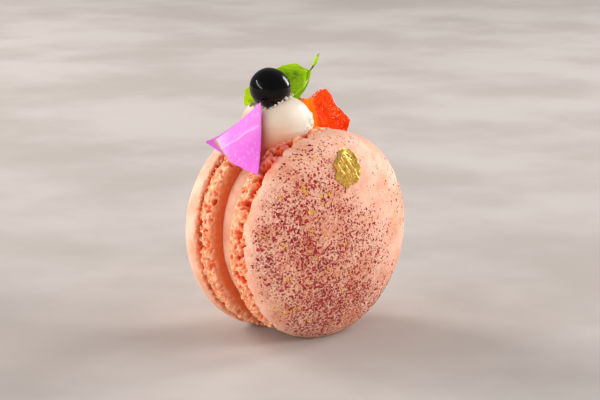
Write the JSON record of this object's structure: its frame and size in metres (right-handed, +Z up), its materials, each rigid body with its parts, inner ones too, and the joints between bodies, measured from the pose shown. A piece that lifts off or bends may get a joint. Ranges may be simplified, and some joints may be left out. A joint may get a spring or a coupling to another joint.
{
  "type": "french macaron",
  "caption": "Macaron on its edge: two domed almond shells with craggy feet round a filling, dressed with cream, pearl, petal, leaf, sugar chip and gold foil.",
  "frame": {"origin": "on the table under the middle of the bounding box", "axes": "+Z up from the table to the garnish, +Y along the macaron's axis from the front shell to the back shell, +X to the right of the front shell"},
  "size_m": [0.045, 0.0353, 0.0594],
  "materials": {
    "biscuit": "matt baked almond shell, salmon pink",
    "filling": "soft buttercream, pale pink",
    "cream": "soft piped cream, ivory white",
    "pearl": "smooth glossy glaze, black",
    "petal": "thin dry petal, lilac pink",
    "leaf": "fresh satin leaf, yellow green",
    "sugar_chip": "grainy sugared jelly, orange red",
    "gold_leaf": "crumpled gold foil"
  },
  "bodies": {
    "root": {"front_shell": "biscuit", "back_shell": "biscuit", "filling": "filling", "cream": "cream", "pearl": "pearl", "petal": "petal", "leaf": "leaf", "sugar_chip": "sugar_chip", "gold_leaf": "gold_leaf"}
  },
  "joints": []
}
